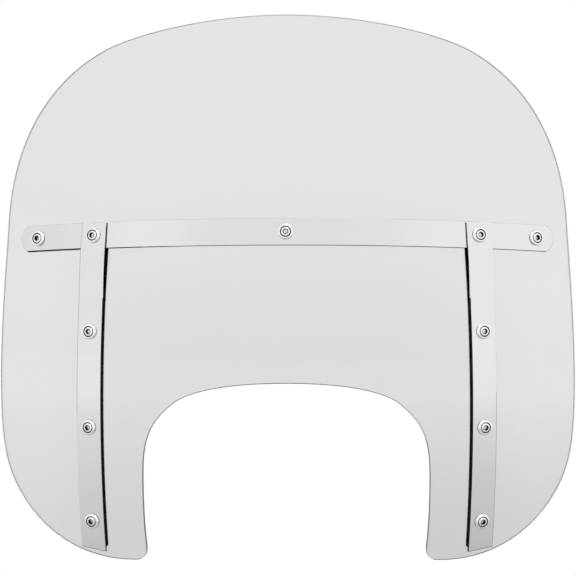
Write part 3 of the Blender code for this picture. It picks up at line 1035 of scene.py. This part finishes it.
def cut_edge():
    """The sheet's machined edge: the same plastic, greyer and satin, with painted shade making
    it darker along the top and the top of the headlight cutout than down the sides."""
    recipe = Recipe("cut_edge")
    recipe.set(Transmission_Weight=1.0, IOR=1.58, Specular_IOR_Level=0.3)
    place = recipe.place()
    across, _, height = recipe.parts(place)
    off_centre = recipe.math("ABSOLUTE", across, 0.0)
    # painted shade darkens the edge along the top and the headlight cutout's arch
    edge_shade = recipe.spread(height, CUTOUT_EDGE_PAINTED_SHADE, TOP_EDGE_PAINTED_SHADE, *CUTOUT_TO_TOP)
    middle = recipe.spread(off_centre, 1.0, 0.0, *ARCH_SIDES)
    raised = recipe.spread(height, 0.0, 1.0, *ARCH_HEIGHTS)
    marks = recipe.noise(place, 400.0, detail=3.0)
    clean = recipe.spread(marks, 0.55, 0.65)
    edge_shade = recipe.math("MULTIPLY", edge_shade, recipe.math("MULTIPLY", middle, raised))
    grey = recipe.math("SUBTRACT", clean, edge_shade)
    recipe.feed(recipe.colour(grey, grey, grey), "Base Color")
    recipe.feed(recipe.spread(marks, 0.25, 0.4), "Roughness")
    recipe.feed(recipe.bump(marks, 0.1, 0.00005), "Normal")
    return recipe.material


def polished_steel():
    """Stainless strip polished lengthwise: fine grain, with slow changes of gloss."""
    recipe = Recipe("polished_steel")
    recipe.set(Metallic=1.0)
    flat = recipe.flat_place()
    grain = recipe.noise(recipe.stretched(flat, (14.0, 2600.0, 1.0)), 1.0, detail=3.0)
    cloud = recipe.noise(flat, 22.0, detail=3.0)
    recipe.feed(recipe.blend(cloud, (0.79, 0.79, 0.785), (0.84, 0.84, 0.835)), "Base Color")
    gloss = recipe.math(
        "ADD", recipe.spread(grain, 0.12, 0.16), recipe.spread(cloud, -0.02, 0.03)
    )
    recipe.feed(gloss, "Roughness")
    recipe.feed(recipe.bump(grain, 0.05, 0.00003), "Normal")
    return recipe.material


def dark_sides_and_painted_shade():
    """Black on the strips' cut sides, and painted shade on their front rims, round screw heads,
    in sockets and cup washers.
    """
    recipe = Recipe("dark_sides_and_painted_shade")
    marks = recipe.noise(recipe.place(), 700.0, detail=3.0)
    recipe.set(Specular_IOR_Level=0.08)
    recipe.feed(recipe.blend(marks, (0.006, 0.006, 0.006), (0.018, 0.018, 0.018)), "Base Color")
    recipe.feed(recipe.spread(marks, 0.45, 0.65), "Roughness")
    recipe.feed(recipe.bump(marks, 0.3, 0.00005), "Normal")
    return recipe.material


def chrome():
    """Bright plate with faint handling marks."""
    recipe = Recipe("chrome")
    recipe.set(Metallic=1.0)
    place = recipe.place()
    smear = recipe.noise(place, 260.0, detail=4.0)
    pits = recipe.noise(place, 2400.0, detail=2.0)
    recipe.feed(recipe.blend(smear, (0.93, 0.93, 0.94), (0.98, 0.98, 0.98)), "Base Color")
    recipe.feed(recipe.spread(smear, 0.05, 0.14), "Roughness")
    recipe.feed(recipe.bump(pits, 0.05, 0.00003), "Normal")
    return recipe.material


def socket_steel():
    """Floor of a screw's socket, duller than the head, and darker grey as painted shade of the
    recess.
    """
    recipe = Recipe("socket_steel")
    recipe.set(Metallic=1.0)
    marks = recipe.noise(recipe.place(), 1500.0, detail=3.0)
    recipe.feed(recipe.blend(marks, (0.66, 0.66, 0.66), (0.78, 0.78, 0.77)), "Base Color")
    recipe.feed(recipe.spread(marks, 0.08, 0.18), "Roughness")
    recipe.feed(recipe.bump(marks, 0.2, 0.00004), "Normal")
    return recipe.material


def black_steel():
    """Satin black powder coat with its orange peel."""
    recipe = Recipe("black_steel")
    place = recipe.place()
    peel = recipe.noise(place, 900.0, detail=2.0)
    wear = recipe.noise(place, 60.0, detail=5.0)
    recipe.feed(recipe.blend(wear, (0.010, 0.010, 0.010), (0.022, 0.022, 0.022)), "Base Color")
    recipe.feed(recipe.spread(wear, 0.36, 0.5), "Roughness")
    recipe.feed(recipe.bump(peel, 0.25, 0.0001), "Normal")
    return recipe.material


def gasket_rubber():
    """Matt black rubber with a fine moulded grain."""
    recipe = Recipe("gasket_rubber")
    recipe.set(Specular_IOR_Level=0.15)
    place = recipe.place()
    grain = recipe.noise(place, 1800.0, detail=3.0)
    dust = recipe.noise(place, 45.0, detail=5.0)
    recipe.feed(recipe.blend(dust, (0.006, 0.006, 0.006), (0.016, 0.016, 0.016)), "Base Color")
    recipe.feed(recipe.spread(dust, 0.7, 0.9), "Roughness")
    recipe.feed(recipe.bump(grain, 0.3, 0.00008), "Normal")
    return recipe.material


def nylon():
    """Natural nylon, slightly mottled."""
    recipe = Recipe("nylon")
    place = recipe.place()
    mottle = recipe.noise(place, 300.0, detail=4.0)
    recipe.feed(recipe.blend(mottle, (0.70, 0.69, 0.65), (0.78, 0.77, 0.73)), "Base Color")
    recipe.feed(recipe.spread(mottle, 0.4, 0.55), "Roughness")
    recipe.feed(recipe.bump(mottle, 0.1, 0.0001), "Normal")
    return recipe.material


# ---- studio ----


def make_world():
    """Even white surroundings, a little dimmer straight in front and far to the left."""
    world = bpy.data.worlds.new("studio")
    bpy.context.scene.world = world
    world.use_nodes = True
    nodes = Nodes(world.node_tree)
    background = nodes.tree.nodes["Background"]
    side, back, _ = nodes.parts(nodes.node("ShaderNodeTexCoord").outputs["Generated"])
    general = nodes.spread(back, FRONT_LIGHT, BACK_LIGHT, *FRONT_TO_BACK, "SMOOTHSTEP")
    front = nodes.spread(back, 1.0 - FRONT_DIP, 1.0, *FRONT_DIP_EDGE, "SMOOTHSTEP")
    left = nodes.spread(side, 1.0 - LEFT_DIP, 1.0, *LEFT_DIP_EDGE, "SMOOTHSTEP")
    strength = nodes.math("MULTIPLY", general, nodes.math("MULTIPLY", front, left))
    nodes.tree.links.new(strength, background.inputs["Strength"])
    background.inputs["Color"].default_value = (1, 1, 1, 1)


def make_floor():
    """A pale floor some way below, matt in front and fading to plain white behind, with painted
    shade greying it round the object.
    """
    mesh = bpy.data.meshes.new("floor")
    level = cad_low.z - FLOOR_DROP
    signs = ((-1, -1), (1, -1), (1, 1), (-1, 1))
    corners = [(x * FLOOR_REACH, y * FLOOR_REACH, level) for x, y in signs]
    mesh.from_pydata(corners, [], [(0, 1, 2, 3)])
    floor = bpy.data.objects.new("floor", mesh)
    bpy.context.scene.collection.objects.link(floor)
    paint = Recipe("pale_floor")
    place = paint.place()
    side, back, _ = paint.parts(place)
    distance = paint.node("ShaderNodeVectorMath", {0: place}, operation="LENGTH")
    closeness = paint.math("DIVIDE", 1.0, distance.outputs["Value"])
    # painted shade: the floor greys towards the object, and more so to its right
    far = paint.spread(closeness, 1.0, FLOOR_FAR_PAINTED_SHADE, *FAR_CLOSENESS, "SMOOTHSTEP")
    near = paint.spread(closeness, 1.0, FLOOR_NEAR_PAINTED_SHADE, *NEAR_CLOSENESS)
    grey = paint.math("MULTIPLY", far, near)
    to_right = paint.spread(side, 0.0, 1.0, *RIGHT_PLACES, "SMOOTHSTEP")
    close_by = paint.spread(closeness, 0.0, 1.0, *RIGHT_CLOSENESS)
    near_right = paint.math("MULTIPLY", to_right, close_by)
    grey = paint.math("MULTIPLY", grey, paint.spread(near_right, 1.0, FLOOR_RIGHT_PAINTED_SHADE, 0.0, 1.0))
    matt = paint.spread(back, 1.0, 0.0, *MATT_TO_WHITE, "SMOOTHSTEP")
    glow = paint.spread(back, 0.0, BACK_LIGHT, *MATT_TO_WHITE, "SMOOTHSTEP")
    grey = paint.math("MULTIPLY", grey, matt)
    paint.feed(paint.colour(grey, grey, grey), "Base Color")
    paint.feed(glow, "Emission Strength")
    paint.set(Emission_Color=(1, 1, 1, 1), Roughness=0.8, Specular_IOR_Level=0.0)
    mesh.materials.append(paint.material)


def make_softbox():
    """One large softbox."""
    lamp = bpy.data.lights.new("front_softbox", "AREA")
    lamp.size = SOFTBOX_SIZE
    lamp.energy = SOFTBOX_POWER
    softbox = bpy.data.objects.new("front_softbox", lamp)
    softbox.location = SOFTBOX_PLACE
    softbox.rotation_mode = "QUATERNION"
    softbox.rotation_quaternion = (-SOFTBOX_PLACE).to_track_quat("-Z", "Y")
    bpy.context.scene.collection.objects.link(softbox)


def make_camera():
    """The camera, a little right of the front and above, aimed at the sheet's middle."""
    data = bpy.data.cameras.new("camera")
    data.sensor_width = CAMERA_SENSOR
    data.lens = CAMERA_LENS
    camera = bpy.data.objects.new("camera", data)
    bpy.context.scene.collection.objects.link(camera)
    back = Vector(
        (
            math.sin(CAMERA_TURN) * math.cos(CAMERA_ELEVATION),
            -math.cos(CAMERA_TURN) * math.cos(CAMERA_ELEVATION),
            math.sin(CAMERA_ELEVATION),
        )
    )
    camera.location = CAMERA_AIM + CAMERA_DISTANCE * back
    look = (-back).to_track_quat("-Z", "Y").to_matrix() @ Matrix.Rotation(-CAMERA_ROLL, 3, "Z")
    camera.rotation_mode = "QUATERNION"
    camera.rotation_quaternion = look.to_quaternion()
    bpy.context.scene.camera = camera


def main():
    bpy.context.scene.view_settings.view_transform = "Standard"
    finishes = {
        recipe.__name__: recipe()
        for recipe in (
            clear_sheet,
            cut_edge,
            polished_steel,
            dark_sides_and_painted_shade,
            chrome,
            socket_steel,
            black_steel,
            gasket_rubber,
            nylon,
        )
    }
    make_screen(finishes)
    make_crossbar(finishes)
    for side in (-1, 1):
        make_upright_strap(side, finishes)
        make_backing(side, finishes)
    make_fasteners(finishes)
    make_world()
    make_floor()
    make_softbox()
    make_camera()


main()
